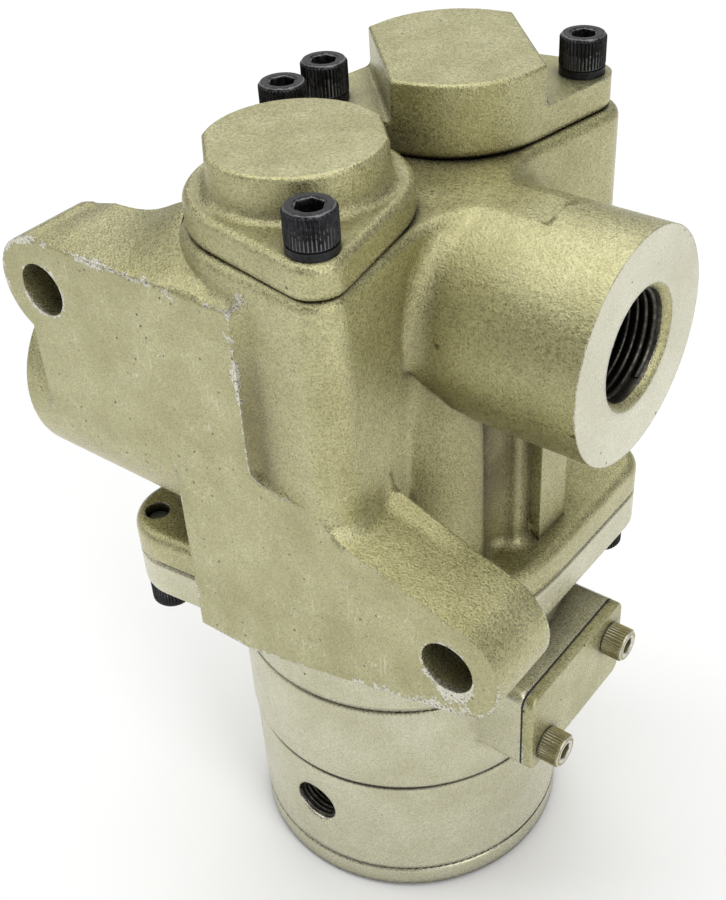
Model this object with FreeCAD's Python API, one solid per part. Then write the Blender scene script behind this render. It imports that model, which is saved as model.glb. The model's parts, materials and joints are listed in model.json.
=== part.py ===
# Twin poppet pneumatic valve with a pilot piston housing below the cast body.
# Millimetres. +Z is up along the pilot cylinder, -Y is the outward side of the
# mounting face, +X is the side of the supply port. The origin is on the pilot
# cylinder's axis at its bottom face.
import FreeCAD
import Part
import math
import os

V = FreeCAD.Vector

# levels
end_groove_z = 7.8
end_cap_top = 40.7
flange_joint_z = 97.5
deck_z = 189.5
boss_rise = 16.0

# lower housing and end cap
housing_r = 41.6
end_cap_step = 0.5
housing_wall = 8.6
housing_line_z = 69.7
line_depth = 0.6
line_width = 0.9
end_floor = 8.0
end_wall = 13.0
end_spigot = 5.3
end_chamfer = 1.4
housing_seal_in = 3.6
housing_seal_w = 2.8
housing_seal_depth = 2.2
spanner_reach = 24.0
spanner_hole_r = 3.0
spanner_hole_depth = 5.0
spigot_play = 0.05

# joint flange between body and lower housing
flange_over = 3.1
flange_thick = 8.5
housing_flange_thick = 10.5
flange_round = 2.6
flange_low_round = 1.6
flange_break = 0.7
back_tip_over = 7.2
back_tip_r = 10.2
front_tip_over = 9.6
front_tip_r = 12.4
back_screw_over = 10.4
front_screw_over = 16.6

# poppet axes and caps
poppet_inset = 6.8
chamber_r = 17.0
chamber_wall = 6.6
cap_flange_thick = 7.2
deck_margin = 1.4
tip_margin = 0.2
cap_screw_r = 27.6
front_boss_inset = 4.3
front_boss_flat = 17.1
back_boss_flat = 16.0
cap_spigot = 6.5
cap_spigot_play = 0.1
cap_edge = 1.8
cap_foot_fillet = 2.2
back_foot_fillet = 1.2
boss_edge = 0.8
ring_groove_w = 2.2
ring_groove_depth = 1.8
ring_rise = 1.5
ring_play = 0.04
spring_pocket_r = 12.0
spring_pocket_depth = 5.0
deck_tip_r = 6.6
back_tip_extra = 1.8

# M6 socket head cap screws
m6_head_r = 5.0
m6_head_h = 7.0
m6_shank_r = 2.95
m6_tap_r = 3.0
m6_clear_r = 3.3
m6_socket_af = 5.0
m6_socket_depth = 4.0
washer_thick = 1.6
cap_screw_len = 19.0
cap_tap_extra = 2.0
housing_screw_len = 18.5
washer_margin = 0.05
socket_rim = 0.5

# mounting plate
face_stand = 2.6
plate_thick = 18.5
plate_right_x = 2.6
plate_left_x = -56.5
plate_foot_left_x = -18.5
plate_top_z = 181.6
plate_foot_z = 90.6
plate_foot_right_x = -3.0
plate_shoulder_z = 143.2
skirt_gap = 0.5
ear_r = 12.0
ear_hole_r = 6.0
ear_x = 50.6
ear_high_z = 169.6
ear_low_z = 117.1

# ports
port_r = 24.5
port_bore_r = 11.7
port_thread_len = 16.0
port_chamfer = 1.5
port_passage_r = 10.0
outlet_passage_r = 8.5
outlet_drop = 2.9
gallery_drop = 5.0
supply_x = 60.3
outlet_x = -64.6
outlet_z = 137.3
gallery_r = 9.0
pilot_port_r = 5.9
pilot_port_chamfer = 0.7
pilot_port_z = 26.2

# cast body walls
core_step = 5.1
core_top_z = 150.0
valley_r = 5.2
valley_depth = 3.6
valley_lip_r = 2.0
valley_angle = -14.0
tower_low_z = 128.0
deck_flat_x = 42.0
port_over_deck = 0.6
rib_over = 3.0
rib_y = 6.0
rib_width = 11.0
machining_stock = 8.0
outlet_seam_angle = -45.0
barrel_fillet = 4.0
port_fillet = 5.0
rib_fillet = 2.0
foot_fillet = 3.0
housing_root = 1.2
deck_fillet = 2.5

# poppets
seat_top_z = 150.0
seat_r = 15.0
seat_bore_r = 10.0
seat_h = 6.5
seat_lip_h = 1.2
seat_lip_in = 11.0
seat_lip_w = 1.0
seat_fit = 0.03
lower_chamber_r = 12.0
lower_chamber_z = 122.0
stem_r = 4.0
stem_play = 0.08
guide_r = 8.0
guide_flange_r = 10.0
guide_flange_h = 2.0
guide_low_gap = 1.5
stem_seal_rise = 10.0
seal_section_r = 1.1
disc_r = 14.2
disc_h = 5.6
disc_seal_in = 8.5
disc_seal_out = 13.4
disc_seal_h = 2.0
disc_seal_stand = 0.5
closed_gap = 0.1
stem_shoulder_r = 6.5
stem_shoulder_h = 3.0
nut_af = 13.0
nut_h = 5.0
stem_end_over = 2.5
stem_foot_gap = 0.1
spring_wire_r = 1.1
spring_mid_r = 9.4
spring_pitch = 5.4
spring_end_gap = 0.05

# pilot piston
lift = 6.0
piston_play = 0.3
piston_h = 17.7
piston_rest_gap = 0.3
piston_crown = 7.0
piston_skirt_wall = 5.5
seal_play = 0.08
piston_seal_h = 3.4
piston_seal_depth = 3.4
piston_seal_top = 2.0
guide_ring_low = 3.2
guide_ring_h = 3.0
guide_ring_depth = 1.8

# side pad and cover plate
pad_half_y = 21.0
pad_top_z = 77.9
pad_low_z = 53.9
pad_over = 7.2
gasket_t = 0.5
cover_t = 2.6
cover_corner_r = 3.0
cover_edge = 0.8
cover_screw_y = 14.4
cover_screw_mid_z = 64.7
cover_screw_dz = 5.4
m5_head_r = 4.25
m5_head_h = 5.5
m5_shank_r = 2.45
m5_tap_r = 2.5
m5_clear_r = 2.75
m5_socket_af = 4.0
m5_socket_depth = 3.0
cover_screw_len = 10.0
vent_r = 3.0
vent_z = 70.5

# derived places
end_cap_r = housing_r - end_cap_step
pilot_bore_r = housing_r - housing_wall
flange_mid_r = housing_r + flange_over
back_screw_r = housing_r + back_screw_over
front_screw_r = housing_r + front_screw_over
core_r = housing_r - core_step
rib_x = core_r + rib_over
pad_x = housing_r + pad_over
poppet_y = pilot_bore_r - poppet_inset
deck_mid_r = chamber_r + chamber_wall
cap_mid_r = deck_mid_r - deck_margin
cap_tip_r = deck_tip_r - tip_margin
front_boss_r = cap_mid_r - front_boss_inset
mount_face_y = -(poppet_y + deck_mid_r + face_stand)
front_axis = V(0, -poppet_y, 0)
back_axis = V(0, poppet_y, 0)
cap_seat_z = deck_z + cap_flange_thick
cap_top_z = deck_z + boss_rise
supply_z = deck_z - port_r + port_over_deck
outlet_y = mount_face_y + port_r
plate_back_y = mount_face_y + plate_thick
flange_top_z = flange_joint_z + flange_thick
flange_low_z = flange_joint_z - housing_flange_thick
piston_low_z = end_cap_top + end_spigot + piston_rest_gap
piston_top_z = piston_low_z + piston_h
seat_lip_z = seat_top_z + seat_lip_h
disc_low_z = seat_lip_z + closed_gap + disc_seal_stand
disc_top_z = disc_low_z + disc_h
nut_top_z = disc_top_z + nut_h
pocket_top_z = deck_z + spring_pocket_depth
gallery_end_y = poppet_y - gallery_r / 3
guide_low_z = flange_joint_z + guide_low_gap
stem_low_z = piston_top_z + stem_foot_gap
cover_x = pad_x + gasket_t
cover_out_x = cover_x + cover_t
housing_seal_r = pilot_bore_r + housing_seal_in + housing_seal_w / 2
spigot_r = pilot_bore_r - spigot_play
piston_r = pilot_bore_r - piston_play
front_angle = -45.0
back_angle = 45.0


def cyl(r, z0, z1, at=V(0, 0, 0)):
    return Part.makeCylinder(r, z1 - z0, V(at.x, at.y, z0), V(0, 0, 1))


def cyl_x(r, x0, x1, y, z):
    return Part.makeCylinder(r, x1 - x0, V(x0, y, z), V(1, 0, 0))


def cyl_y(r, y0, y1, x, z):
    return Part.makeCylinder(r, y1 - y0, V(x, y0, z), V(0, 1, 0))


def box(x0, x1, y0, y1, z0, z1):
    return Part.makeBox(x1 - x0, y1 - y0, z1 - z0, V(x0, y0, z0))


def ring(r_in, r_out, z0, z1, at=V(0, 0, 0)):
    return cyl(r_out, z0, z1, at).cut(cyl(r_in, z0 - 1, z1 + 1, at))


def o_ring(mid_r, section_r, z, at=V(0, 0, 0)):
    return Part.makeTorus(mid_r, section_r, V(at.x, at.y, z), V(0, 0, 1))


def hexagon(af, z0, z1, at=V(0, 0, 0)):
    r = af / 2 / math.cos(math.radians(30))
    corners = [polar(r, a, at) + V(0, 0, z0) for a in range(0, 361, 60)]
    return Part.Face(Part.makePolygon(corners)).extrude(V(0, 0, z1 - z0))


def polar(reach, angle, at=V(0, 0, 0)):
    a = math.radians(angle)
    return V(at.x + reach * math.cos(a), at.y + reach * math.sin(a), 0)


def lug_plate(z0, z1, angle, mid_r, tips, at=V(0, 0, 0)):
    # two lug flange: a middle circle and two tip circles joined by tangent lines
    sides = []
    for (reach, tip_r), side in zip(tips, (1, -1)):
        c = (mid_r - tip_r) / reach
        s = math.sqrt(1 - c * c)
        on_mid = V(side * mid_r * c, mid_r * s, 0)
        on_tip = V(side * (reach + tip_r * c), tip_r * s, 0)
        sides.append((on_mid, on_tip, V(side * (reach + tip_r), 0, 0)))
    (ma, ta, ea), (mb, tb, eb) = sides
    flip = lambda p: V(p.x, -p.y, 0)
    edges = [Part.LineSegment(ma, ta).toShape(),
             Part.Arc(ta, ea, flip(ta)).toShape(),
             Part.LineSegment(flip(ta), flip(ma)).toShape(),
             Part.Arc(flip(ma), V(0, -mid_r, 0), flip(mb)).toShape(),
             Part.LineSegment(flip(mb), flip(tb)).toShape(),
             Part.Arc(flip(tb), eb, tb).toShape(),
             Part.LineSegment(tb, mb).toShape(),
             Part.Arc(mb, V(0, mid_r, 0), ma).toShape()]
    solid = Part.Face(Part.Wire(edges)).extrude(V(0, 0, z1 - z0))
    solid.rotate(V(0, 0, 0), V(0, 0, 1), angle)
    solid.translate(V(at.x, at.y, z0))
    return solid


def middle(edge):
    return edge.valueAt((edge.FirstParameter + edge.LastParameter) / 2)


def is_inner(shape, edge):
    # an inner corner has material just beyond each of its two faces
    point = middle(edge)
    normals = []
    for face in shape.Faces:
        if any(e.isSame(edge) for e in face.Edges):
            u, v = face.Surface.parameter(point)
            normals.append(face.normalAt(u, v))
    if len(normals) != 2 or normals[0].getAngle(normals[1]) < 0.05:
        return False
    step = (normals[0] - normals[1]) * 0.05
    return shape.isInside(point + step, 1e-6, False) and shape.isInside(point - step, 1e-6, False)


def blend(shape, r, low, high):
    # cast radius in the inner corners whose middles lie in one box
    room = FreeCAD.BoundBox(low, high)
    found = [e for e in shape.Edges if room.isInside(middle(e)) and is_inner(shape, e)]
    return shape.makeFillet(r, found)


def level_edges(shape, z):
    return [e for e in shape.Edges if abs(e.BoundBox.ZMin - z) < 1e-4 and abs(e.BoundBox.ZMax - z) < 1e-4]


def cap_screw(head_r, head_h, shank_r, length, socket_af, socket_depth):
    # socket head cap screw, head up with its seat at the origin
    head = cyl(head_r, 0, head_h)
    head = head.makeChamfer(socket_rim, level_edges(head, head_h))
    solid = head.fuse(cyl(shank_r, -length, 0))
    return solid.cut(hexagon(socket_af, head_h - socket_depth, head_h + 1))


def m6_screw(length):
    return cap_screw(m6_head_r, m6_head_h, m6_shank_r, length, m6_socket_af, m6_socket_depth)


def placed(shape, place, z):
    moved = shape.copy()
    moved.translate(V(place.x, place.y, z))
    return moved


def group(shapes):
    return Part.makeCompound(list(shapes))


# places of the screws
def cap_screw_places():
    return [polar(side * cap_screw_r, angle, axis)
            for angle, axis in ((front_angle, front_axis), (back_angle, back_axis)) for side in (1, -1)]


def flange_screw_places():
    return [polar(back_screw_r, back_angle), polar(-front_screw_r, back_angle)]


def cover_screw_places():
    # (y, z) of each screw on the side pad
    return [(side * cover_screw_y, cover_screw_mid_z + side * cover_screw_dz) for side in (1, -1)]


# cast valve body
def tangent_point(p, c, r, side):
    # point where a line from p touches the circle (c, r), above or below it
    dx, dz = c[0] - p[0], c[1] - p[1]
    d = math.hypot(dx, dz)
    a = math.atan2(dz, dx) + side * math.asin(r / d)
    run = math.sqrt(d * d - r * r)
    return (p[0] + run * math.cos(a), p[1] + run * math.sin(a))


def plate_profile(y0, y1):
    # mounting plate: high ear and field, and the sloping arm to the low ear
    def slab(corners):
        wire = Part.makePolygon([V(x, y0, z) for x, z in corners + [corners[0]]])
        return Part.Face(wire).extrude(V(0, y1 - y0, 0))
    field = slab([(plate_left_x, outlet_z), (plate_left_x, ear_high_z), (-ear_x, plate_top_z),
                  (plate_right_x, plate_top_z), (plate_right_x, outlet_z)])
    shoulder = (plate_right_x, plate_shoulder_z)
    foot = (plate_foot_right_x, plate_foot_z)
    ear = (ear_x, ear_low_z)
    upper = tangent_point(shoulder, ear, ear_r, 1)
    lower = tangent_point(foot, ear, ear_r, -1)
    arm = slab([(plate_foot_left_x, plate_foot_z), foot, lower, ear, upper, shoulder,
                (plate_right_x, plate_shoulder_z + ear_r), (plate_foot_left_x, plate_shoulder_z + ear_r)])
    high = cyl_y(plate_top_z - ear_high_z, y0, y1, -ear_x, ear_high_z)
    low = cyl_y(ear_r, y0, y1, ear_x, ear_low_z)
    return field.fuse([arm, high, low]).removeSplitter()


def tower():
    # two lug outlines under the caps, joined by a web
    lugs = [lug_plate(tower_low_z, deck_z, angle, deck_mid_r, [(cap_screw_r, tip_r)] * 2, axis)
            for angle, axis, tip_r in ((front_angle, front_axis, deck_tip_r),
                                       (back_angle, back_axis, deck_tip_r + back_tip_extra))]
    web = box(-deck_mid_r, deck_mid_r, -poppet_y, poppet_y, tower_low_z, deck_z)
    return lugs[0].fuse([lugs[1], web]).removeSplitter()


def joint_flange(z0, z1, extra=0):
    tips = [(housing_r + back_tip_over, back_tip_r + extra), (housing_r + front_tip_over, front_tip_r + extra)]
    return lug_plate(z0, z1, back_angle, flange_mid_r + extra, tips)


def core():
    # round core with an upright valley beside the rib
    low_z = flange_top_z - 1
    place = polar(core_r + valley_r - valley_depth, valley_angle)
    solid = cyl(core_r, low_z, core_top_z).cut(cyl(valley_r, low_z - 1, core_top_z + 1, place))
    lips = [e for e in solid.Edges if e.BoundBox.ZLength > 1 and middle(e).distanceToPoint(
        V(place.x, place.y, middle(e).z)) < valley_r + 0.01]
    return solid.makeFillet(valley_lip_r, lips)


def foot():
    # round core on the joint flange, with a cast radius at its root
    flange = joint_flange(flange_joint_z, flange_top_z)
    flange = flange.makeFillet(flange_round, level_edges(flange, flange_top_z))
    flange = flange.makeChamfer(flange_break, level_edges(flange, flange_joint_z))
    solid = core().fuse(flange).removeSplitter()
    root = [e for e in level_edges(solid, flange_top_z) if math.hypot(middle(e).x, middle(e).y) < core_r + 0.1]
    return solid.makeFillet(foot_fillet, root)


def port_root():
    # flared root of the supply port, turned about the port's axis
    rim, end = deck_mid_r, deck_mid_r + port_fillet
    middle = V(end - port_fillet * math.sin(math.radians(45)),
               port_r + port_fillet * (1 - math.cos(math.radians(45))), 0)
    outline = [Part.makeLine(V(0, 0, 0), V(0, port_r + port_fillet, 0)),
               Part.makeLine(V(0, port_r + port_fillet, 0), V(rim, port_r + port_fillet, 0)),
               Part.Arc(V(rim, port_r + port_fillet, 0), middle, V(end, port_r, 0)).toShape(),
               Part.makeLine(V(end, port_r, 0), V(end, 0, 0)),
               Part.makeLine(V(end, 0, 0), V(0, 0, 0))]
    solid = Part.Face(Part.Wire(outline)).revolve(V(0, 0, 0), V(1, 0, 0), 360)
    solid.translate(V(0, 0, supply_z))
    return solid


def body_outside():
    # the mounting face is machined through its stock after the cast radii are made
    raw_face_y = mount_face_y - machining_stock
    plate = plate_profile(raw_face_y, plate_back_y)
    supply = port_root().fuse(cyl_x(port_r, 0, supply_x, 0, supply_z))
    supply = supply.cut(box(-1, deck_flat_x, -2 * port_r, 2 * port_r, deck_z, deck_z + port_r))
    outlet = cyl_x(port_r, outlet_x, 0, outlet_y, outlet_z)
    # its seam is turned away from the place where the boss grazes the core
    outlet.rotate(V(0, outlet_y, outlet_z), V(1, 0, 0), outlet_seam_angle)
    rib_low_y, rib_high_y = rib_y - rib_width / 2, rib_y + rib_width / 2
    rib = box(core_r - rib_width, rib_x, rib_low_y, rib_high_y, flange_top_z - foot_fillet, supply_z)
    solid = tower().fuse([foot(), plate, supply, outlet, rib]).removeSplitter()
    arm_low_z = plate_shoulder_z - barrel_fillet * 2
    solid = blend(solid, barrel_fillet, V(plate_foot_left_x + 1, raw_face_y - 1, arm_low_z),
                  V(ear_x, plate_back_y - 1, plate_top_z + 1))
    under_z = supply_z - port_r
    solid = blend(solid, rib_fillet, V(core_r - rib_fillet, rib_low_y - 1, under_z - 1),
                  V(rib_x + 1, rib_high_y + 1, under_z + port_fillet))
    solid = solid.cut(box(plate_left_x * 2, ear_x * 2, raw_face_y * 2, mount_face_y, 0, cap_top_z))
    rim = [e for e in level_edges(solid, deck_z) if e.BoundBox.XMin < deck_flat_x - 0.1]
    return solid.makeFillet(deck_fillet, rim)


def port_mouth(x, y, z, out):
    # tapping bore and its chamfered mouth, cut inwards from the end of a port
    bore = Part.makeCylinder(port_bore_r, port_thread_len + 1,
                             V(x - out * port_thread_len, y, z), V(out, 0, 0))
    cone = Part.makeCone(port_bore_r, port_bore_r + port_chamfer, port_chamfer,
                         V(x - out * port_chamfer, y, z), V(out, 0, 0))
    return [bore, cone]


def body_cavities():
    cuts = []
    for axis in (front_axis, back_axis):
        cuts.append(cyl(chamber_r, seat_top_z, deck_z + 1, axis))
        cuts.append(cyl(seat_r, seat_top_z - seat_h, seat_top_z + 1, axis))
        cuts.append(cyl(lower_chamber_r, lower_chamber_z, seat_top_z, axis))
        cuts.append(cyl(guide_r + seat_fit, flange_joint_z - 1, lower_chamber_z + 1, axis))
    # supply passage from the right port into both upper chambers
    cuts.append(cyl_x(port_passage_r, -gallery_r / 2, supply_x, 0, supply_z))
    cuts.append(cyl_y(gallery_r, -gallery_end_y, gallery_end_y, 0, supply_z - port_over_deck))
    cuts += port_mouth(supply_x, 0, supply_z, 1)
    # outlet passage from both lower chambers to the left port
    cuts.append(cyl_x(outlet_passage_r, outlet_x, -gallery_r / 2, outlet_y, outlet_z - outlet_drop))
    cuts.append(cyl_y(gallery_r, -gallery_end_y, gallery_end_y, 0, outlet_z - gallery_drop))
    cuts += port_mouth(outlet_x, outlet_y, outlet_z, -1)
    for x, z in ((-ear_x, ear_high_z), (ear_x, ear_low_z)):
        cuts.append(cyl_y(ear_hole_r, mount_face_y - 1, plate_back_y + ear_r, x, z))
    tap_low_z = cap_seat_z + washer_thick - cap_screw_len - cap_tap_extra
    for place in cap_screw_places():
        cuts.append(cyl(m6_tap_r, tap_low_z, deck_z + 1, place))
    for place in flange_screw_places():
        cuts.append(cyl(m6_tap_r, flange_joint_z - 1, flange_top_z + 1, place))
    # the foot of the mounting plate is relieved behind, clear of the housing flange
    cuts.append(joint_flange(plate_foot_z - 1, flange_joint_z, skirt_gap))
    return cuts


def valve_body():
    return body_outside().cut(body_cavities())


# chamber caps
def cap_outline(top_z, angle):
    return lug_plate(deck_z, top_z, angle, cap_mid_r, [(cap_screw_r, cap_tip_r)] * 2)


def boss_slab(half):
    # band between the two flats of a cap boss
    slab = box(-half, half, -2 * cap_screw_r, 2 * cap_screw_r, cap_seat_z - 1, cap_top_z + 1)
    slab.rotate(V(0, 0, 0), V(0, 0, 1), back_angle)
    return slab


def cap_inside(solid, axis, angle):
    # spigot with its ring groove, spring pocket and screw holes
    spigot_low_z = deck_z - cap_spigot
    r = chamber_r - cap_spigot_play
    solid = solid.fuse(cyl(r, spigot_low_z, deck_z, axis)).removeSplitter()
    groove_z = spigot_low_z + ring_rise
    solid = solid.cut(ring(r - ring_groove_depth, r + 1, groove_z, groove_z + ring_groove_w, axis))
    solid = solid.cut(cyl(spring_pocket_r, spigot_low_z - 1, pocket_top_z, axis))
    for side in (1, -1):
        place = polar(side * cap_screw_r, angle, axis)
        solid = solid.cut(cyl(m6_clear_r, deck_z - 1, cap_top_z + 1, place))
    return solid


def front_cap():
    flange = cap_outline(cap_seat_z, front_angle)
    boss = cyl(front_boss_r, cap_seat_z, cap_top_z).common(boss_slab(front_boss_flat))
    flange = flange.makeFillet(cap_edge, level_edges(flange, cap_seat_z))
    solid = flange.fuse(boss)
    root = [e for e in level_edges(solid, cap_seat_z) if is_inner(solid, e)]
    solid = solid.makeFillet(cap_foot_fillet, root)
    solid = solid.makeFillet(boss_edge, level_edges(solid, cap_top_z))
    solid.translate(front_axis)
    return cap_inside(solid, front_axis, front_angle)


def back_cap():
    # the boss follows the flange outline between two deep flats
    tall = cap_outline(cap_top_z, back_angle)
    keep = boss_slab(back_boss_flat)
    flange = cap_outline(cap_seat_z, back_angle)
    solid = flange.fuse(tall.common(keep)).removeSplitter()
    root = [e for e in level_edges(solid, cap_seat_z) if is_inner(solid, e)]
    solid = solid.makeFillet(back_foot_fillet, root)
    solid = solid.makeFillet(boss_edge, level_edges(solid, cap_top_z))
    solid.translate(back_axis)
    return cap_inside(solid, back_axis, back_angle)


def cap_o_rings():
    r_out = chamber_r - ring_play
    r_in = chamber_r - cap_spigot_play - ring_groove_depth + ring_play
    z = deck_z - cap_spigot + ring_rise + ring_groove_w / 2
    return group(o_ring((r_out + r_in) / 2, (r_out - r_in) / 2, z, axis) for axis in (front_axis, back_axis))


def m6_washer():
    return ring(m6_clear_r - washer_margin, m6_head_r - washer_margin, 0, washer_thick)


def cap_washers():
    return group(placed(m6_washer(), place, cap_seat_z) for place in cap_screw_places())


def cap_screws():
    seat_z = cap_seat_z + washer_thick
    return group(placed(m6_screw(cap_screw_len), place, seat_z) for place in cap_screw_places())


# poppets, listed for one axis and used for both
def seat(axis):
    solid = ring(seat_bore_r, seat_r - seat_fit, seat_top_z - seat_h, seat_top_z, axis)
    lip = ring(seat_lip_in, seat_lip_in + seat_lip_w, seat_top_z - 1, seat_lip_z, axis)
    return solid.fuse(lip).removeSplitter()


def guide(axis):
    solid = cyl(guide_r, guide_low_z, lower_chamber_z, axis)
    top_z = lower_chamber_z + guide_flange_h
    solid = solid.fuse(cyl(guide_flange_r, lower_chamber_z, top_z, axis)).removeSplitter()
    solid = solid.cut(cyl(stem_r + stem_play, guide_low_z - 1, top_z + 1, axis))
    seal_z = guide_low_z + stem_seal_rise
    half = seal_section_r + ring_play
    return solid.cut(cyl(stem_r + stem_play + 2 * half, seal_z - half, seal_z + half, axis))


def stem_seals():
    z = guide_low_z + stem_seal_rise
    mid_r = stem_r + stem_play + ring_play + seal_section_r
    return group(o_ring(mid_r, seal_section_r, z, axis) for axis in (front_axis, back_axis))


def stem(axis):
    rod = cyl(stem_r, stem_low_z, nut_top_z + stem_end_over, axis)
    rod = rod.makeChamfer(0.8, level_edges(rod, nut_top_z + stem_end_over))
    return rod.fuse(cyl(stem_shoulder_r, disc_low_z - stem_shoulder_h, disc_low_z, axis)).removeSplitter()


def disc(axis):
    solid = ring(stem_r + seat_fit, disc_r, disc_low_z, disc_top_z, axis)
    groove_top_z = disc_low_z + disc_seal_h - disc_seal_stand
    return solid.cut(ring(disc_seal_in, disc_seal_out, disc_low_z - 1, groove_top_z, axis))


def disc_seal(axis):
    low_z = disc_low_z - disc_seal_stand
    top_z = low_z + disc_seal_h - ring_play
    return ring(disc_seal_in + ring_play, disc_seal_out - ring_play, low_z, top_z, axis)


def nut(axis):
    solid = hexagon(nut_af, disc_top_z, nut_top_z, axis)
    cone = Part.makeCone(nut_af / 2 + nut_h, nut_af / 2, nut_h, V(axis.x, axis.y, disc_top_z), V(0, 0, 1))
    return solid.common(cone).cut(cyl(stem_r + seat_fit, disc_top_z - 1, nut_top_z + 1, axis))


def spring(axis):
    low_z = disc_top_z + spring_wire_r + spring_end_gap
    high_z = pocket_top_z - spring_wire_r - spring_end_gap
    path = Part.makeHelix(spring_pitch, high_z - low_z, spring_mid_r)
    slope = math.atan(spring_pitch / (2 * math.pi * spring_mid_r))
    section = Part.makeCircle(spring_wire_r, V(spring_mid_r, 0, 0), V(0, math.cos(slope), math.sin(slope)))
    coil = Part.Wire(path.Edges).makePipeShell([Part.Wire(section)], True, True)
    coil.translate(V(axis.x, axis.y, low_z))
    return coil


# pilot cylinder
def line_groove(r, z):
    return ring(r - line_depth, r + 1, z - line_width / 2, z + line_width / 2)


def lower_housing():
    flange = joint_flange(flange_low_z, flange_joint_z)
    flange = flange.makeFillet(flange_low_round, level_edges(flange, flange_low_z))
    flange = flange.makeChamfer(flange_break, level_edges(flange, flange_joint_z))
    barrel = cyl(housing_r, end_cap_top, flange_joint_z).fuse(flange).removeSplitter()
    root = [e for e in level_edges(barrel, flange_low_z) if abs(e.BoundBox.XMax - housing_r) < 0.1]
    barrel = barrel.makeFillet(housing_root, root)
    barrel = barrel.cut(line_groove(housing_r, housing_line_z))
    pad = box(pilot_bore_r - 2, pad_x, -pad_half_y, pad_half_y, pad_low_z, pad_top_z)
    corners = [e for e in pad.Edges if e.BoundBox.XLength > 1]
    solid = barrel.fuse(pad.makeFillet(cover_corner_r, corners)).removeSplitter()
    cuts = [cyl(pilot_bore_r, end_cap_top - 1, flange_joint_z + 1)]
    half = housing_seal_w / 2
    cuts.append(ring(housing_seal_r - half, housing_seal_r + half, flange_joint_z - housing_seal_depth,
                     flange_joint_z + 1))
    for place in flange_screw_places():
        cuts.append(cyl(m6_clear_r, flange_low_z - 1, flange_joint_z + 1, place))
    for y, z in cover_screw_places():
        cuts.append(cyl_x(m5_tap_r, cover_out_x - cover_screw_len - 1, pad_x + 1, y, z))
    cuts.append(cyl_x(vent_r, 0, pad_x + 1, 0, vent_z))
    return solid.cut(cuts)


def housing_o_ring():
    section_r = housing_seal_depth / 2 - ring_play
    return o_ring(housing_seal_r, section_r, flange_joint_z - housing_seal_depth / 2)


def housing_washers():
    return group(placed(m6_washer(), place, flange_low_z - washer_thick) for place in flange_screw_places())


def housing_screws():
    screw = m6_screw(housing_screw_len)
    screw.rotate(V(0, 0, 0), V(1, 0, 0), 180)
    return group(placed(screw, place, flange_low_z - washer_thick) for place in flange_screw_places())


def bottom_cap():
    shell = cyl(end_cap_r, 0, end_cap_top)
    shell = shell.makeChamfer(end_chamfer, level_edges(shell, 0))
    spigot_top_z = end_cap_top + end_spigot
    solid = shell.fuse(cyl(spigot_r, end_cap_top, spigot_top_z)).removeSplitter()
    groove_z = end_cap_top + ring_rise
    cuts = [cyl(end_cap_r - end_wall, end_floor, spigot_top_z + 1), line_groove(end_cap_r, end_groove_z),
            ring(spigot_r - ring_groove_depth, spigot_r + 1, groove_z, groove_z + ring_groove_w)]
    cuts.append(cyl_y(pilot_port_r, -end_cap_r - 1, 0, 0, pilot_port_z))
    depth = end_cap_r - pilot_port_chamfer
    cuts.append(Part.makeCone(pilot_port_r, pilot_port_r + 2 * pilot_port_chamfer, 2 * pilot_port_chamfer,
                              V(0, -depth, pilot_port_z), V(0, -1, 0)))
    for side in (1, -1):
        cuts.append(cyl(spanner_hole_r, -1, spanner_hole_depth, V(side * spanner_reach, 0, 0)))
    return solid.cut(cuts)


def bottom_cap_o_ring():
    r_out = pilot_bore_r - ring_play
    r_in = spigot_r - ring_groove_depth + ring_play
    return o_ring((r_out + r_in) / 2, (r_out - r_in) / 2, end_cap_top + ring_rise + ring_groove_w / 2)


def piston_levels():
    seal_low_z = piston_top_z - piston_seal_top - piston_seal_h
    ring_low_z = piston_low_z + guide_ring_low
    return seal_low_z, ring_low_z


def pilot_piston():
    seal_low_z, ring_low_z = piston_levels()
    solid = cyl(piston_r, piston_low_z, piston_top_z)
    solid = solid.cut(cyl(piston_r - piston_skirt_wall, piston_low_z - 1, piston_top_z - piston_crown))
    for low_z, height, depth in ((seal_low_z, piston_seal_h, piston_seal_depth),
                                 (ring_low_z, guide_ring_h, guide_ring_depth)):
        solid = solid.cut(ring(piston_r - depth, piston_r + 1, low_z, low_z + height))
    return solid


def piston_band(low_z, height, depth):
    top_z = low_z + height - ring_play
    return ring(piston_r - depth + ring_play, pilot_bore_r - seal_play, low_z + ring_play, top_z)


def piston_seal():
    return piston_band(piston_levels()[0], piston_seal_h, piston_seal_depth)


def piston_guide_ring():
    return piston_band(piston_levels()[1], guide_ring_h, guide_ring_depth)


# side cover
def cover_sheet(x0, x1):
    sheet = box(x0, x1, -pad_half_y, pad_half_y, pad_low_z, pad_top_z)
    sheet = sheet.makeFillet(cover_corner_r, [e for e in sheet.Edges if e.BoundBox.XLength > 0.1])
    for y, z in cover_screw_places():
        sheet = sheet.cut(cyl_x(m5_clear_r, x0 - 1, x1 + 1, y, z))
    return sheet


def cover_gasket():
    return cover_sheet(pad_x, cover_x).cut(cyl_x(vent_r, pad_x - 1, cover_x + 1, 0, vent_z))


def cover_plate():
    sheet = cover_sheet(cover_x, cover_out_x)
    rim = [e for e in sheet.Edges if abs(e.BoundBox.XMin - cover_out_x) < 1e-4
           and abs(e.BoundBox.XMax - cover_out_x) < 1e-4 and not is_screw_rim(e)]
    return sheet.makeFillet(cover_edge, rim)


def is_screw_rim(edge):
    return edge.isClosed()


def cover_screws():
    screw = cap_screw(m5_head_r, m5_head_h, m5_shank_r, cover_screw_len, m5_socket_af, m5_socket_depth)
    screw.rotate(V(0, 0, 0), V(0, 1, 0), 90)
    screw.translate(V(cover_out_x, 0, 0))
    return group(placed(screw, V(0, y, 0), z) for y, z in cover_screw_places())


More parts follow.
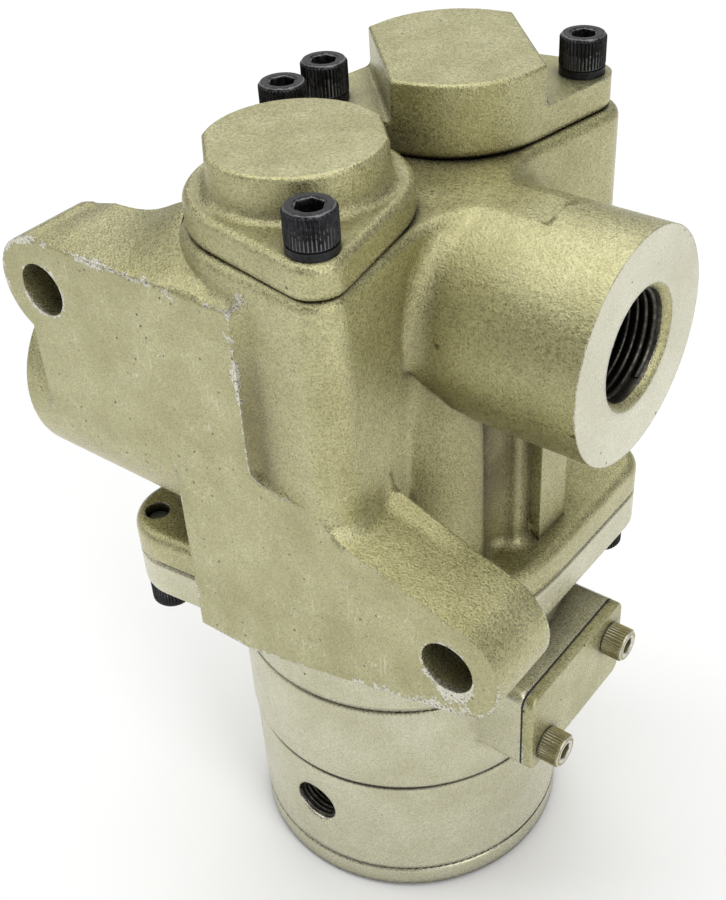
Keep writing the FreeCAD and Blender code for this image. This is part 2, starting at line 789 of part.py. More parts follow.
def pieces():
    made = {"valve_body": valve_body(), "front_cap": front_cap(), "back_cap": back_cap(),
            "cap_screws": cap_screws(), "cap_washers": cap_washers(), "cap_o_rings": cap_o_rings(),
            "stem_seals": stem_seals(), "lower_housing": lower_housing(), "housing_o_ring": housing_o_ring(),
            "housing_screws": housing_screws(), "housing_washers": housing_washers(),
            "pilot_piston": pilot_piston(), "piston_seal": piston_seal(),
            "piston_guide_ring": piston_guide_ring(), "bottom_cap": bottom_cap(),
            "bottom_cap_o_ring": bottom_cap_o_ring(), "cover_gasket": cover_gasket(),
            "cover_plate": cover_plate(), "cover_screws": cover_screws()}
    for side, axis in (("front", front_axis), ("back", back_axis)):
        for name, make in (("seat", seat), ("guide", guide), ("stem", stem), ("disc", disc),
                           ("disc_seal", disc_seal), ("nut", nut), ("spring", spring)):
            made[side + "_" + name] = make(axis)
    return made


def main():
    os.makedirs("parts", exist_ok=True)
    for name, shape in pieces().items():
        shape.exportStep("parts/" + name + ".step")
        print(name, len(shape.Solids), shape.isValid(), round(shape.Volume))


main()
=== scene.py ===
# %% [markdown]
# A cast pneumatic valve in a worn olive-gold coat.
# The valve is a sand casting with milled faces, turned pieces below it and black knurled screws.
# The shapes come from the engineering model, so this script adds what a render needs: surfaces that are
# finely divided for wear, knurls and threads that repeat, finishes, light and a camera.

import json
import math

import bmesh
import bpy
from mathutils import Matrix, Vector, kdtree


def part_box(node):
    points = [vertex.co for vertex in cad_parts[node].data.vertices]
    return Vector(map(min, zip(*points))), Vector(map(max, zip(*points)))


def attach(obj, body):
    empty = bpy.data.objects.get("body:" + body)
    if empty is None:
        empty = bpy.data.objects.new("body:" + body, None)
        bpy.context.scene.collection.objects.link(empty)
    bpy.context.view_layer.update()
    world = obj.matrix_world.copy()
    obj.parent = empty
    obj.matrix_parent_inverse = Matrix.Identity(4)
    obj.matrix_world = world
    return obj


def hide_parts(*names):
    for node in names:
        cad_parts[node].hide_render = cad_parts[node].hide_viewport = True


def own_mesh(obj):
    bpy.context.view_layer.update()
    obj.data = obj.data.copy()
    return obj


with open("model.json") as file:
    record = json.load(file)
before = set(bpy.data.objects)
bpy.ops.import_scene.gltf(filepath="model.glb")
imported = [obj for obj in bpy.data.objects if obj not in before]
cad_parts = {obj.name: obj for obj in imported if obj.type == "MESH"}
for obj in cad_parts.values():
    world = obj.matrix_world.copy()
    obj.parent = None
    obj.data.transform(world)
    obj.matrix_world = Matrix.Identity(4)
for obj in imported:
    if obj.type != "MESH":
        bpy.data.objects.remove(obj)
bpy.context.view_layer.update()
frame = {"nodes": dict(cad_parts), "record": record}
MM = 0.001
CYLINDER_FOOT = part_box("lower_housing")[0].z
print("pieces loaded:", len(frame["nodes"]), "the cylinder's foot at", round(CYLINDER_FOOT / MM, 2), "mm")

# %% [markdown]
# Colours are written as the hex values that a painter would read off a screen.
# Shaders count in linear light, so one function turns them.
# A second small function adds any shader or geometry node with its settings and its links. Its inputs come
# as a list in the node's own order, or with their names or numbers. A whole node stands for its first live
# output.


# %% Colour and node helpers
def linear(hex_colour):
    parts = [int(hex_colour[i:i + 2], 16) / 255 for i in (0, 2, 4)]
    return [c / 12.92 if c <= 0.04045 else ((c + 0.055) / 1.055) ** 2.4 for c in parts] + [1.0]


def add(tree, kind, inputs=(), **settings):
    made = tree.nodes.new(kind)
    for name, value in settings.items():
        setattr(made, name, value)
    for name, value in inputs.items() if isinstance(inputs, dict) else enumerate(inputs):
        if isinstance(value, bpy.types.Node):
            value = next(s for s in value.outputs if s.enabled)
        if isinstance(value, bpy.types.NodeSocket):
            tree.links.new(value, made.inputs[name])
        else:
            made.inputs[name].default_value = value
    return made


MATH, MIX, RANGE = "ShaderNodeMath", "ShaderNodeMix", "ShaderNodeMapRange"
NOISE, CELLS = "ShaderNodeTexNoise", "ShaderNodeTexVoronoi"
SOFT = {"interpolation_type": "SMOOTHSTEP"}
COLOURS = {"data_type": "RGBA"}


def new_finish(name):
    finish = bpy.data.materials.new(name)
    finish.use_nodes = True
    finish.node_tree.nodes.clear()
    return finish, finish.node_tree


# %% [markdown]
# The coat on this valve is a thin gold-green layer of lacquer over aluminium, so it has a satin metallic
# shine, and the sand grain of the casting shows through. A metal takes its colour into its reflections, so
# the hue sits in the base colour and the shine stays strong.
# The grain is drawn about four tenths of a millimetre wide. Real sand grain is finer, but it wouldn't show in
# the picture. Slow patches and slower clouds move the colour between a lighter and a darker tone.

# %% Colour and grain of the coat
PATCH_MM, CLOUD_MM = 9, 28
FLAKE_TO_GRAIN = 0.8


def coat_colour(tree, place, light, middle, dark, grain_mm, speckle):
    grain = add(tree, NOISE, {"Vector": place, "Scale": 1 / (grain_mm * MM), "Detail": 2.0, "Roughness": 0.6})
    patches = add(tree, NOISE, {"Vector": place, "Scale": 1 / (PATCH_MM * MM), "Detail": 4.0,
                                "Roughness": 0.6})
    clouds = add(tree, NOISE, {"Vector": place, "Scale": 1 / (CLOUD_MM * MM), "Detail": 2.0})
    flakes = add(tree, CELLS, {"Vector": place, "Scale": 1 / (grain_mm * FLAKE_TO_GRAIN * MM)})
    flake = add(tree, "ShaderNodeSeparateColor", [flakes.outputs["Color"]])
    near = add(tree, RANGE, [patches, 0.32, 0.68, 0.0, 0.5], **SOFT)
    far = add(tree, RANGE, [clouds, 0.35, 0.65, 0.0, 0.5], **SOFT)
    tone = add(tree, MATH, [near, far], operation="ADD")
    coat = add(tree, MIX, {0: tone, 6: linear(middle), 7: linear(light)}, **COLOURS)
    # every flake has its own darkness, and some grains between them get a painted glint of the light tone
    dull_flake = add(tree, RANGE, [flake, 0.0, 1.0, speckle, 0.0])
    coat = add(tree, MIX, {0: dull_flake, 6: coat, 7: linear(dark)}, **COLOURS)
    painted_glint = add(tree, RANGE, [grain, 0.5, 0.72, 0.0, speckle], **SOFT)
    coat = add(tree, MIX, {0: painted_glint, 6: coat, 7: linear(light)}, **COLOURS)
    return coat, grain, patches, flake


# %% [markdown]
# Years of use have left small dark pits, short hairline scratches and bare silver corners.
# Each dressed mesh carries three numbers on every vertex: the distance to its nearest outer corner
# in millimetres, how much that place was handled, and how much painted shade its hollow gets. The finish
# compares the distance with a noise, so the bare metal starts at the corner and ends in a ragged border,
# pitted with dark specks.

# %% Wear on the coat
PIT_CELL_MM, HAIRLINE_MM, HAIRLINE_STRETCH = 2.6, 0.55, 16
CHIP_MM, CHIP_DRIFT_MM = 1.6, 11


def pits_on(tree, place, patches, share):
    cells = add(tree, CELLS, {"Vector": place, "Scale": 1 / (PIT_CELL_MM * MM)})
    pick = add(tree, "ShaderNodeSeparateColor", [cells.outputs["Color"]]).outputs[1]
    size = add(tree, RANGE, [pick, 1.0 - share, 1.0, -0.05, 0.12], **SOFT)
    rim = add(tree, MATH, [cells.outputs["Distance"], size], operation="SUBTRACT")
    pit = add(tree, RANGE, [rim, -0.02, 0.03, 1.0, 0.0], **SOFT)
    used = add(tree, RANGE, [patches, 0.4, 0.6], **SOFT)
    return add(tree, MATH, [pit, used], operation="MULTIPLY")


def hairlines_on(tree, place, patches, strength):
    # a Mapping node of the texture kind turns before it stretches, so each set runs its own way
    lines = None
    for turn, shift in ((0.4, 0.11), (1.3, 0.23), (2.2, 0.37), (2.9, 0.53)):
        drawn = add(tree, "ShaderNodeMapping", {"Vector": place, "Location": (shift, shift, shift),
                                                "Rotation": (turn, turn * 0.7, turn * 1.9),
                                                "Scale": (HAIRLINE_STRETCH, 1, 1)}, vector_type="TEXTURE")
        fibre = add(tree, NOISE, {"Vector": drawn, "Scale": 1 / (HAIRLINE_MM * MM), "Detail": 0.0})
        line = add(tree, RANGE, [fibre, 0.74, 0.80], **SOFT)
        lines = line if lines is None else add(tree, MATH, [lines, line], operation="MAXIMUM")
    used = add(tree, RANGE, [patches, 0.45, 0.65, 0.0, strength], **SOFT)
    return add(tree, MATH, [lines, used], operation="MULTIPLY")


def bare_corners(tree, place, wear_mm):
    distance = add(tree, "ShaderNodeAttribute", attribute_name="edge_mm").outputs["Fac"]
    handled = add(tree, "ShaderNodeAttribute", attribute_name="handled").outputs["Fac"]
    chips = add(tree, NOISE, {"Vector": place, "Scale": 1 / (CHIP_MM * MM), "Detail": 5.0, "Roughness": 0.7})
    drift = add(tree, NOISE, {"Vector": place, "Scale": 1 / (CHIP_DRIFT_MM * MM), "Detail": 2.0})
    ragged = add(tree, MATH, [chips, drift], operation="MULTIPLY")
    share = add(tree, RANGE, [ragged, 0.17, 0.42, 0.0, wear_mm], **SOFT)
    reach = add(tree, MATH, [share, handled], operation="MULTIPLY")
    past = add(tree, MATH, [distance, reach], operation="SUBTRACT")
    return add(tree, RANGE, [past, -0.12, 0.08, 1.0, 0.0], **SOFT)


# %% [markdown]
# The finish puts these layers together. Painted shade, which also stands for grime, darkens seams and
# sheltered corners, which an ambient occlusion node finds three times over: far out for the soft painted
# shade in deep corners, nearer for painted shade and grime, and nearest for the thin dark seams, painted
# shade as well. The bump carries the grain, the pits and a slow unevenness that a cast skin has, and a bevel
# node rounds every corner by half a millimetre.

# %% Coated aluminium
# each kind of painted shade and grime: its reach in millimetres, the openness where it is thickest and where
# it ends, its share where it is thickest, and its colour
SHADE_AND_GRIME = ((15.0, 0.15, 0.75, 0.75, "3e3520"),
         (4.5, 0.35, 0.9, 0.6, "463c24"),
         (2.4, 0.3, 0.72, 0.92, "1c170e"))
# the last two colours are painted shade: for the upright hollows of the cast skin and for the groove above
# the end cap
PIT, SCRATCH, SILVER, SPECK, HOLLOW_SHADE_COLOUR, GROOVE_SHADE = "4a4227", "dcd8c0", "d6d3c2", "4b4631", "55492b", "2b2415"
SPECK_MM, LATHE_RING_MM, ROUNDING_MM = 0.5, 0.45, 0.5


def coated_aluminium(name, palette, grain_mm, depth_mm, speckle, gloss, wear_mm, pitted, scratched,
                     lathe=False):
    finish, tree = new_finish(name)
    place = add(tree, "ShaderNodeTexCoord").outputs["Object"]
    colour, grain, patches, flake = coat_colour(tree, place, *palette, grain_mm, speckle)
    pit = pits_on(tree, place, patches, pitted)
    colour = add(tree, MIX, {0: pit, 6: colour, 7: linear(PIT)}, **COLOURS)
    if scratched:
        hairline = hairlines_on(tree, place, patches, scratched)
        colour = add(tree, MIX, {0: hairline, 6: colour, 7: linear(SCRATCH)}, **COLOURS)
    bare = bare_corners(tree, place, wear_mm)
    fine = add(tree, NOISE, {"Vector": place, "Scale": 1 / (SPECK_MM * MM), "Detail": 3.0, "Roughness": 0.75})
    specks = add(tree, RANGE, [fine, 0.38, 0.45, 1.0, 0.0], **SOFT)
    silver = add(tree, MIX, {0: specks, 6: linear(SILVER), 7: linear(SPECK)}, **COLOURS)
    colour = add(tree, MIX, {0: bare, 6: colour, 7: silver}, **COLOURS)
    if not scratched:
        # painted shade darkens the upright hollows of the rough cast skin, and the smooth machined faces
        # don't get it
        hollow_shade = add(tree, "ShaderNodeAttribute", attribute_name="hollow_shade").outputs["Fac"]
        hollow_patchiness = add(tree, RANGE, [patches, 0.25, 0.6, 0.6, 0.9], **SOFT)
        shaded_hollow = add(tree, MATH, [hollow_shade, hollow_patchiness], operation="MULTIPLY", use_clamp=True)
        colour = add(tree, MIX, {0: shaded_hollow, 6: colour, 7: linear(HOLLOW_SHADE_COLOUR)}, **COLOURS)
    # ambient occlusion darkens corners and seams with painted shade, which also stands for grime
    for reach_mm, thickest, end, share, hex_shade_and_grime in SHADE_AND_GRIME:
        shelter = add(tree, "ShaderNodeAmbientOcclusion", {"Distance": reach_mm * MM},
                      samples=4).outputs["AO"]
        shade_and_dirt = add(tree, RANGE, [shelter, thickest, end, share, 0.0], **SOFT)
        colour = add(tree, MIX, {0: shade_and_dirt, 6: colour, 7: linear(hex_shade_and_grime)}, **COLOURS)
    if lathe:
        # painted shade in the groove where the end cap meets the cylinder, just above its foot
        axis = add(tree, "ShaderNodeSeparateXYZ", [place]).outputs[2]
        off_seam = add(tree, MATH, [axis, CYLINDER_FOOT + 0.5 * MM], operation="SUBTRACT")
        off_seam = add(tree, MATH, [off_seam], operation="ABSOLUTE")
        seam = add(tree, RANGE, [off_seam, 0.4 * MM, 1.3 * MM, 0.92, 0.0], **SOFT)
        colour = add(tree, MIX, {0: seam, 6: colour, 7: linear(GROOVE_SHADE)}, **COLOURS)
    rough = add(tree, RANGE, [flake, 0.0, 1.0, gloss - 0.11, gloss + 0.09], **SOFT)
    rough = add(tree, MATH, [bare, -0.1, rough], operation="MULTIPLY_ADD")
    height = add(tree, MATH, [pit, -1.2, grain], operation="MULTIPLY_ADD")
    height = add(tree, MATH, [flake, 0.35, height], operation="MULTIPLY_ADD")
    height = add(tree, MATH, [bare, -0.5, height], operation="MULTIPLY_ADD")
    height = add(tree, MATH, [patches, 0.9, height], operation="MULTIPLY_ADD")
    if lathe:
        rings = add(tree, NOISE, {"W": axis, "Scale": 1 / (LATHE_RING_MM * MM), "Detail": 2.0},
                    noise_dimensions="1D")
        height = add(tree, MATH, [rings, 0.6, height], operation="MULTIPLY_ADD")
    rounded = add(tree, "ShaderNodeBevel", {"Radius": ROUNDING_MM * MM}, samples=4)
    bump = add(tree, "ShaderNodeBump", {"Height": height, "Distance": depth_mm * MM, "Normal": rounded})
    shader = add(tree, "ShaderNodeBsdfPrincipled", {"Base Color": colour, "Metallic": 0.8, "Roughness": rough,
                                                    "Normal": bump, "Coat Weight": 0.25,
                                                    "Coat Roughness": 0.42})
    add(tree, "ShaderNodeOutputMaterial", [shader])
    return finish


CAST_OLIVE = ("d0cc9d", "b5b07f", "5d5534")
MILLED_OLIVE = ("c9c69a", "b0ac7e", "645c3a")
TURNED_OLIVE = ("d8d6bc", "c6c3a4", "7a7355")
# the port faces carry a thinner, paler coat, and their tones are raised further as painted light from the
# right
LIT_FACED_OLIVE = ("dfdec9", "cfcdb4", "8c866c")
sand_cast = coated_aluminium("sand cast aluminium, olive-gold coat", CAST_OLIVE, grain_mm=0.42, depth_mm=0.19,
                             speckle=0.5, gloss=0.34, wear_mm=0.7, pitted=0.3, scratched=0.0)
milled = coated_aluminium("milled aluminium, olive-gold coat", MILLED_OLIVE, grain_mm=0.4, depth_mm=0.12,
                          speckle=0.45, gloss=0.37, wear_mm=1.1, pitted=0.6, scratched=0.6)
cap_face = coated_aluminium("faced cap top, olive-gold coat", MILLED_OLIVE, grain_mm=0.42, depth_mm=0.16,
                            speckle=0.6, gloss=0.46, wear_mm=0.6, pitted=0.6, scratched=0.5)
faced = coated_aluminium("faced aluminium, thin olive coat", LIT_FACED_OLIVE, grain_mm=0.4, depth_mm=0.09,
                         speckle=0.3, gloss=0.38, wear_mm=0.5, pitted=0.6, scratched=0.7)
turned = coated_aluminium("turned aluminium, olive-gold coat", TURNED_OLIVE, grain_mm=0.4, depth_mm=0.07,
                          speckle=0.32, gloss=0.33, wear_mm=0.5, pitted=0.25, scratched=0.35, lathe=True)
print("coats:", sand_cast.name, milled.name, cap_face.name, faced.name, turned.name)

# %% [markdown]
# The other pieces are steel, rubber, bronze and plastic.
# One function serves them all: a base colour that varies a little over the surface, a roughness that varies
# with it, and a faint bump. The black screws are steel with a black oxide layer that is thin on their tips.


# %% Plain finishes
def plain_finish(name, hex_a, hex_b, metallic, gloss, size_mm, depth_mm, rubbed=None):
    finish, tree = new_finish(name)
    place = add(tree, "ShaderNodeTexCoord").outputs["Object"]
    spots = add(tree, NOISE, {"Vector": place, "Scale": 1 / (size_mm * MM), "Detail": 4.0, "Roughness": 0.6})
    tone = add(tree, RANGE, [spots, 0.35, 0.65], **SOFT)
    colour = add(tree, MIX, {0: tone, 6: linear(hex_a), 7: linear(hex_b)}, **COLOURS)
    if rubbed:
        distance = add(tree, "ShaderNodeAttribute", attribute_name="edge_mm").outputs["Fac"]
        reach = add(tree, RANGE, [spots, 0.3, 0.7, 0.0, 0.3], **SOFT)
        past = add(tree, MATH, [distance, reach], operation="SUBTRACT")
        worn = add(tree, RANGE, [past, 0.0, 0.1, 1.0, 0.0], **SOFT)
        colour = add(tree, MIX, {0: worn, 6: colour, 7: linear(rubbed)}, **COLOURS)
    rough = add(tree, RANGE, [spots, 0.3, 0.7, gloss - 0.08, gloss + 0.08], **SOFT)
    bump = add(tree, "ShaderNodeBump", {"Height": spots, "Distance": depth_mm * MM})
    shader = add(tree, "ShaderNodeBsdfPrincipled", {"Base Color": colour, "Metallic": metallic,
                                                    "Roughness": rough, "Normal": bump})
    add(tree, "ShaderNodeOutputMaterial", [shader])
    return finish


# each line: name, two colours, how metallic, how rough, the width of its spots and its bump in millimetres
black_oxide = plain_finish("black oxide steel", "202020", "37373a", 0.8, 0.40, 0.8, 0.01, rubbed="6a6a6c")
dark_washer = plain_finish("black oxide washer steel", "202020", "343436", 0.8, 0.45, 0.8, 0.01)
coated_steel = plain_finish("steel screw under the olive coat", "a39c78", "8b8460", 0.8, 0.42, 0.7, 0.02,
                            rubbed="d2d0c2")
bore_metal = plain_finish("oiled bore in cast aluminium", "5d5a52", "3d3b36", 0.9, 0.38, 0.9, 0.02)
stainless = plain_finish("turned stainless steel", "b9b9b6", "a3a3a0", 1.0, 0.28, 1.5, 0.005)
spring_steel = plain_finish("bright spring steel", "9c9c9a", "7d7d7b", 1.0, 0.32, 1.2, 0.005)
piston_metal = plain_finish("turned aluminium, uncoated", "c3c3c1", "aeaeac", 1.0, 0.34, 1.5, 0.008)
bronze = plain_finish("bearing bronze", "b08a4a", "936f36", 1.0, 0.36, 1.2, 0.01)
nitrile = plain_finish("nitrile rubber", "171717", "242424", 0.0, 0.62, 0.7, 0.01)
slide_plastic = plain_finish("filled low-friction plastic", "e3dfd0", "d2cdbb", 0.0, 0.5, 1.5, 0.01)
seat_polymer = plain_finish("sealing polymer", "3c2c22", "2c2019", 0.0, 0.55, 1.0, 0.01)
fibre = plain_finish("fibre gasket sheet", "35302a", "24211d", 0.0, 0.8, 0.5, 0.03)

# %% [markdown]
# A designer's mesh is made of long thin triangles, which is fine for flat metal but leaves nowhere to store
# where the coat is worn. So each coated piece gets a dressed copy: its loose triangles are joined, long edges
# are halved until none is longer than a few millimetres, and every vertex learns its distance to the nearest
# outer corner. The copy keeps the size and the place of the original.


# %% Dressed copies
# an edge that turns by more than this is a corner, and two points closer than this are one
CORNER = math.radians(28)
SAME_POINT = 0.002 * MM


def merged_copy(node):
    work = bmesh.new()
    work.from_mesh(frame["nodes"][node].data)
    bmesh.ops.remove_doubles(work, verts=work.verts, dist=SAME_POINT)
    bmesh.ops.dissolve_degenerate(work, edges=work.edges, dist=SAME_POINT)
    return work


def outer_corner_points(work, step):
    found = []
    for edge in work.edges:
        if len(edge.link_faces) == 2 and edge.calc_face_angle_signed() > CORNER:
            a, b = (v.co for v in edge.verts)
            count = max(1, math.ceil((b - a).length / step))
            found += [a.lerp(b, i / count) for i in range(count + 1)]
    return found


def divide_long_edges(work, longest):
    for _ in range(9):
        too_long = [e for e in work.edges if e.calc_length() > longest]
        if not too_long:
            break
        bmesh.ops.subdivide_edges(work, edges=too_long, cuts=1)
        bmesh.ops.triangulate(work, faces=[f for f in work.faces if len(f.verts) > 3])


# places that were knocked and rubbed most, in millimetres, each with its reach and its strength
HANDLED = [((2.6, -52.4, 178), 14, 3.0), ((-22, -52.4, 181.6), 24, 1.5), ((-57, -52.4, 176), 14, 1.5),
           ((20, -52.4, 96), 24, 1.5), ((50, -50, 101), 18, 3.6), ((0, -8, 205), 14, 0.5),
           ((30, 22, 197), 12, 0.7), ((52, -20, 66), 14, 1.0)]

# upright hollows darkened with painted shade: beside the plate, in the core's valley and at the barrel's root
SHADED_HOLLOWS = [((5.0, -50, 163), 5, 0.6), ((5.0, -50, 146), 5, 0.6), ((33, -8, 130), 8, 1.0),
             ((25, -21, 160), 8, 0.6)]

# a handled place is as tall as it is wide, and a shaded hollow is drawn out upright
LEAST_HANDLED, AS_WIDE, UPRIGHT = 0.45, 1.0, 2.8


def strength_at(point, places, least, tallness):
    total = least
    for place, reach, strength in places:
        offset = point / MM - Vector(place)
        offset.z /= tallness
        total += strength * math.exp(-(offset.length / reach) ** 2)
    return total


# where two pieces meet, the corner is sheltered and stays dark: the caps, the flange and the grooved cylinder
DECK_MM, END_JOINT_MM = 189.5, 40.7
SEAMS_MM = [DECK_MM, 97.5, 69.7, END_JOINT_MM, 7.8]
SEAM_REACH_MM, FARTHEST_MM = 0.9, 12.0


def store_wear(mesh, points):
    points = [p for p in points if all(abs(p.z / MM - seam) > SEAM_REACH_MM for seam in SEAMS_MM)]
    tree = kdtree.KDTree(max(1, len(points)))
    for i, point in enumerate(points):
        tree.insert(point, i)
    tree.balance()
    distance = [min(FARTHEST_MM, tree.find(v.co)[2] / MM) if points else FARTHEST_MM for v in mesh.vertices]
    handled = [strength_at(v.co, HANDLED, LEAST_HANDLED, AS_WIDE) for v in mesh.vertices]
    # how much painted shade each vertex gets in the upright hollows
    hollow_shade = [strength_at(v.co, SHADED_HOLLOWS, 0.0, UPRIGHT) for v in mesh.vertices]
    for name, numbers in (("edge_mm", distance), ("handled", handled), ("hollow_shade", hollow_shade)):
        mesh.attributes.new(name, "FLOAT", "POINT").data.foreach_set("value", numbers)


def dress(node, piece_name, body, longest_mm, finishes, choose=None, reshape=None, prepare=None):
    work = merged_copy(node)
    points = outer_corner_points(work, 0.8 * MM)
    if prepare:
        prepare(work)
    divide_long_edges(work, longest_mm * MM)
    if reshape:
        reshape(work)
    for face in work.faces:
        face.smooth = True
        face.material_index = choose(face) if choose else 0
    mesh = bpy.data.meshes.new(piece_name)
    work.to_mesh(mesh)
    work.free()
    mesh.set_sharp_from_angle(angle=CORNER)
    store_wear(mesh, points)
    for finish in finishes:
        mesh.materials.append(finish)
    piece = bpy.data.objects.new(piece_name, mesh)
    bpy.context.scene.collection.objects.link(piece)
    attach(piece, body)
    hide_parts(node)
    print(piece_name, "triangles", len(mesh.polygons), "corner points", len(points))
    return piece


# %% [markdown]
# On the casting, the mounting face and the faces of the ports are milled, and the rest keeps its sand grain.
# The ports are bored. A face's direction and level tell which it is.

# %% Levels and ports read from the frame
mount_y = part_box("valve_body")[0].y
deck_z = DECK_MM * MM
mounts = {m["name"]: m for m in frame["record"]["mounts"]}
PORTS = {name: (Vector(mounts[name]["pos_m"]), Vector(mounts[name]["axis"]),
                mounts[name]["dims"]["r_mm"] * MM, mounts[name]["dims"]["length_mm"] * MM)
         for name in ("supply_port", "outlet_port", "pilot_port")}
SUPPLY_CENTRE = PORTS["supply_port"][0]
print("threads start at x", [round(PORTS[n][0].x / MM, 1) for n in ("supply_port", "outlet_port")], "mm")
TOLERANCE = 0.1 * MM
PASSAGE_LENGTH = 30 * MM
PORT_FACE_FROM, PORT_FACE_TO, PORT_FACE_R = 1 * MM, 3 * MM, 25 * MM
SQUARE_ON = 0.99
AS_CAST, AS_MILLED, AS_BORED, AS_FACED = range(4)


def port_place(point, port):
    centre, axis, _, _ = PORTS[port]
    along = (point - centre).dot(axis)
    return along, (point - centre - axis * along).length


def casting_finish(face):
    centre, normal = face.calc_center_median(), face.normal
    places = {name: port_place(centre, name) for name in ("supply_port", "outlet_port")}
    for name, (along, reach) in places.items():
        _, _, radius, length = PORTS[name]
        if reach < radius + TOLERANCE and -length - PASSAGE_LENGTH < along < 2 * TOLERANCE:
            return AS_BORED
    if normal.y < -SQUARE_ON and abs(centre.y - mount_y) < TOLERANCE:
        return AS_MILLED
    for along, reach in places.values():
        # a port is given where its thread starts, and its face stands two to three millimetres outside it
        if abs(normal.x) > SQUARE_ON and PORT_FACE_FROM < along < PORT_FACE_TO and reach < PORT_FACE_R:
            return AS_FACED
    return AS_CAST


# %% [markdown]
# Where the top of the mounting plate runs into the tower under the front cap, the pattern maker left a
# wide sweep. It is a soft form without a corner, so it is made here by lifting vertices of the plate's top:
# most beside the tower, and nothing along the milled front edge.

# %% Sweep beside the front tower
TOWER_CENTRE = Vector((0, (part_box("front_seat")[0].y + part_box("front_seat")[1].y) / 2, 0))
TOWER_R = 23.6 * MM
PLATE_TOP, PLATE_THICK = 181.6 * MM, 18.5 * MM
SWEEP_RISE, SWEEP_REACH, SWEEP_END_X = 6.4 * MM, 9.0 * MM, -4 * MM
DRAFT_RISE, DRAFT_START_X, DRAFT_RUN = 1.4 * MM, -50.6 * MM, 6 * MM
SWEEP_FALL, DEPTH_EASE = 1.6, 0.6
LEVEL_SLACK, LEAST_UNDER_DECK = 0.3 * MM, 0.4 * MM


def sweep_up(vertex):
    point = vertex.co
    gap = (point - TOWER_CENTRE).xy.length - TOWER_R
    if gap < -TOLERANCE or point.x > SWEEP_END_X or point.y > mount_y + PLATE_THICK + TOLERANCE:
        return
    if not PLATE_TOP - LEVEL_SLACK < point.z < deck_z - LEVEL_SLACK:
        return
    draft = DRAFT_RISE * min(1.0, max(0.0, (point.x - DRAFT_START_X) / DRAFT_RUN))
    rise = draft + SWEEP_RISE * math.exp(-(max(0.0, gap) / SWEEP_REACH) ** SWEEP_FALL)
    depth = max(0.0, (point.y - mount_y) / PLATE_THICK)
    vertex.co.z = max(point.z, min(deck_z - LEAST_UNDER_DECK, PLATE_TOP + rise * depth ** DEPTH_EASE))


# %% [markdown]
# Under the supply port the round core of the casting runs up into the port's barrel, and a moulder fills such
# a corner with a fillet. The top of the core is stretched upward by an amount that fades out evenly towards
# the barrel and the tower, so no triangle turns over. The raised part then leans back onto the barrel.
# At the end every vertex of the corner is moved again and again towards the middle of its neighbours, which
# rounds it as sand would.

# %% Filled corner under the supply port
CORE_LOW, CORE_TOP, FILL_END = 131.0 * MM, 150.0 * MM, 168.0 * MM
BARREL_R = 24.5 * MM
FILL_RISE, BARREL_FADE = 11.0 * MM, 4 * MM
BACK_CENTRE = Vector((0, -TOWER_CENTRE.y, 0))
CHAMBER_R, PASSAGE_R = 20 * MM, 15 * MM
# the box that is looked at, and where in it the stretch begins and is full
FILL_X, FILL_Y = (14 * MM, 44 * MM), (-42 * MM, -6 * MM)
FADE_X, FADE_REAR_Y, FADE_FRONT_Y = (14 * MM, 20 * MM), (-6 * MM, -12 * MM), (-38 * MM, -31 * MM)
LEAN_Z, LEAN_GAP, LEAN_INSET = (CORE_TOP - 3 * MM, CORE_TOP + 8 * MM), (7 * MM, 4 * MM), 1 * MM
ROUNDED_FROM_X, ROUNDED_FROM_Y, SMOOTHINGS = 19 * MM, -33.5 * MM, 16


def outer_skin(point):
    in_chamber = min((point - TOWER_CENTRE).xy.length, (point - BACK_CENTRE).xy.length) < CHAMBER_R
    return not in_chamber and port_place(point, "supply_port")[1] > PASSAGE_R


def share_of(value, start, end):
    return min(1.0, max(0.0, (value - start) / (end - start)))


def fill_corner(work):
    skin = [v for v in work.verts if FILL_X[0] < v.co.x < FILL_X[1] and FILL_Y[0] < v.co.y < FILL_Y[1]
            and CORE_LOW < v.co.z < FILL_END and outer_skin(v.co)]
    for vertex in skin:
        # point follows the vertex as it moves
        point = vertex.co
        of_core = point.z < CORE_TOP + 2 * TOLERANCE
        low, high = share_of(point.z, CORE_LOW, CORE_TOP), share_of(point.z, FILL_END, CORE_TOP)
        off_barrel = share_of(port_place(point, "supply_port")[1], BARREL_R, BARREL_R + BARREL_FADE)
        inside = share_of(point.x, *FADE_X) * share_of(point.y, *FADE_REAR_Y)
        inside *= share_of(point.y, *FADE_FRONT_Y)
        vertex.co.z += FILL_RISE * min(low, high) * off_barrel * inside
        # the raised lip stands a little in front of the barrel, so it leans back until it ends inside it
        reach = port_place(point, "supply_port")[1]
        gap = reach - (BARREL_R - LEAN_INSET)
        lean = share_of(point.z, *LEAN_Z) * share_of(gap, *LEAN_GAP) * inside
        if of_core and reach > BARREL_R + TOLERANCE:
            on_axis = Vector((point.x, SUPPLY_CENTRE.y, SUPPLY_CENTRE.z))
            vertex.co = on_axis + (point - on_axis) * (1 - lean * gap / reach)
    corner = [v for v in skin if v.co.x > ROUNDED_FROM_X and v.co.y > ROUNDED_FROM_Y]
    for _ in range(SMOOTHINGS):
        bmesh.ops.smooth_vert(work, verts=corner, factor=0.5,
                              use_axis_x=True, use_axis_y=True, use_axis_z=True)
    print("corner vertices stretched:", len(skin), "and rounded:", len(corner))


def reshape_casting(work):
    for vertex in work.verts:
        sweep_up(vertex)
    fill_corner(work)


dress("valve_body", "casting", "valve", 2.2, [sand_cast, milled, bore_metal, faced],
      casting_finish, reshape_casting)

